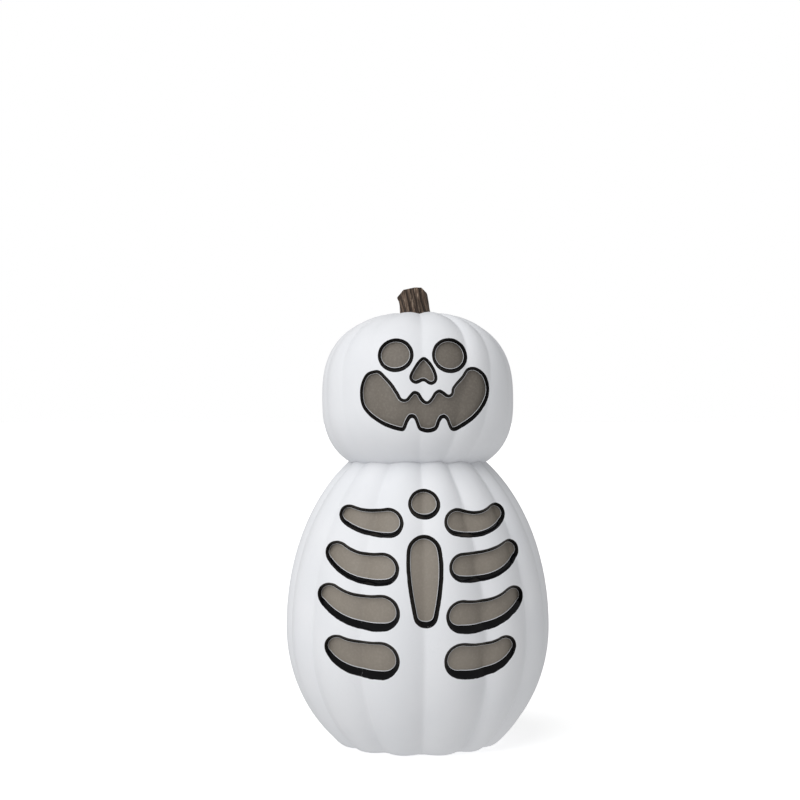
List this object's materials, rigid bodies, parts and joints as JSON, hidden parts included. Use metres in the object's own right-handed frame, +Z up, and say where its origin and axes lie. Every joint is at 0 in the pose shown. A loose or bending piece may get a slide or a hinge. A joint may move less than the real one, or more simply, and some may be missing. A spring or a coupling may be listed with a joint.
{
  "type": "halloween skeleton figure",
  "caption": "Light-up figure of a squat lobed pumpkin head on an egg-shaped pumpkin body, with skull-face and rib windows, a stem and a battery base.",
  "frame": {"origin": "centre of the foot's resting plane, under the middle of the body", "axes": "+Z up to the stem; the face and ribs look along -Y; +X is the figure's left, at the right of a viewer facing it"},
  "size_m": [0.2198, 0.217, 0.3808],
  "materials": {
    "shell_white": "satin white paint, with glossy black paint on the window edges",
    "stem_brown": "matt brown paint over moulded ridges",
    "liner_taupe": "frosted translucent sheet, unlit",
    "base_black": "moulded, fine texture",
    "steel": "bright plated",
    "cell_wrap": "printed sleeve without text",
    "board_green": "solder mask",
    "chip_black": "moulded",
    "switch_white": "moulded",
    "led_clear": "clear resin, warm",
    "wire_red": "insulated lead",
    "wire_black": "insulated lead"
  },
  "bodies": {
    "figure": {"base_plate": "base_black", "base_screw_1": "steel", "base_screw_2": "steel", "base_screw_3": "steel", "base_screw_4": "steel", "battery_1": "cell_wrap", "battery_2": "cell_wrap", "battery_3": "cell_wrap", "battery_lead_black": "wire_black", "battery_lead_red": "wire_red", "board_screw_1": "steel", "board_screw_4": "steel", "body_diffuser": "liner_taupe", "body_shell": "shell_white", "circuit_board": "board_green", "contact_back_pair": "steel", "contact_back_single": "steel", "contact_front_pair": "steel", "contact_front_single": "steel", "contact_spring_1": "steel", "contact_spring_2": "steel", "contact_spring_3": "steel", "head_board": "board_green", "head_diffuser": "liner_taupe", "head_lead_black": "wire_black", "head_lead_red": "wire_red", "head_shell": "shell_white", "hinge_pin": "steel", "led_body_1": "led_clear", "led_body_2": "led_clear", "led_head_1": "led_clear", "led_head_2": "led_clear", "light_mast": "base_black", "neck_shelf": "base_black", "stem": "stem_brown", "stem_clip": "steel", "switch_housing": "chip_black", "switch_lead_black": "wire_black", "switch_lead_red": "wire_red", "timer_chip": "chip_black"},
    "battery_door": {"battery_door": "base_black"},
    "door_screw": {"door_screw": "steel"},
    "switch_lever": {"switch_lever": "switch_white"}
  },
  "joints": [
    {"name": "battery_door_hinge", "type": "hinge", "parent": "figure", "child": "battery_door", "pos_m": [0, 0.0346, 0.0032], "axis": [1, 0, 0], "range_deg": [0, 75]},
    {"name": "door_screw_turn", "type": "hinge", "parent": "battery_door", "child": "door_screw", "pos_m": [0, -0.0324, 0.0015], "axis": [0, 0, 1], "continuous": true},
    {"name": "switch_slide", "type": "slide", "parent": "figure", "child": "switch_lever", "axis": [0, 1, 0], "range_m": [-0.002, 0.002]}
  ]
}
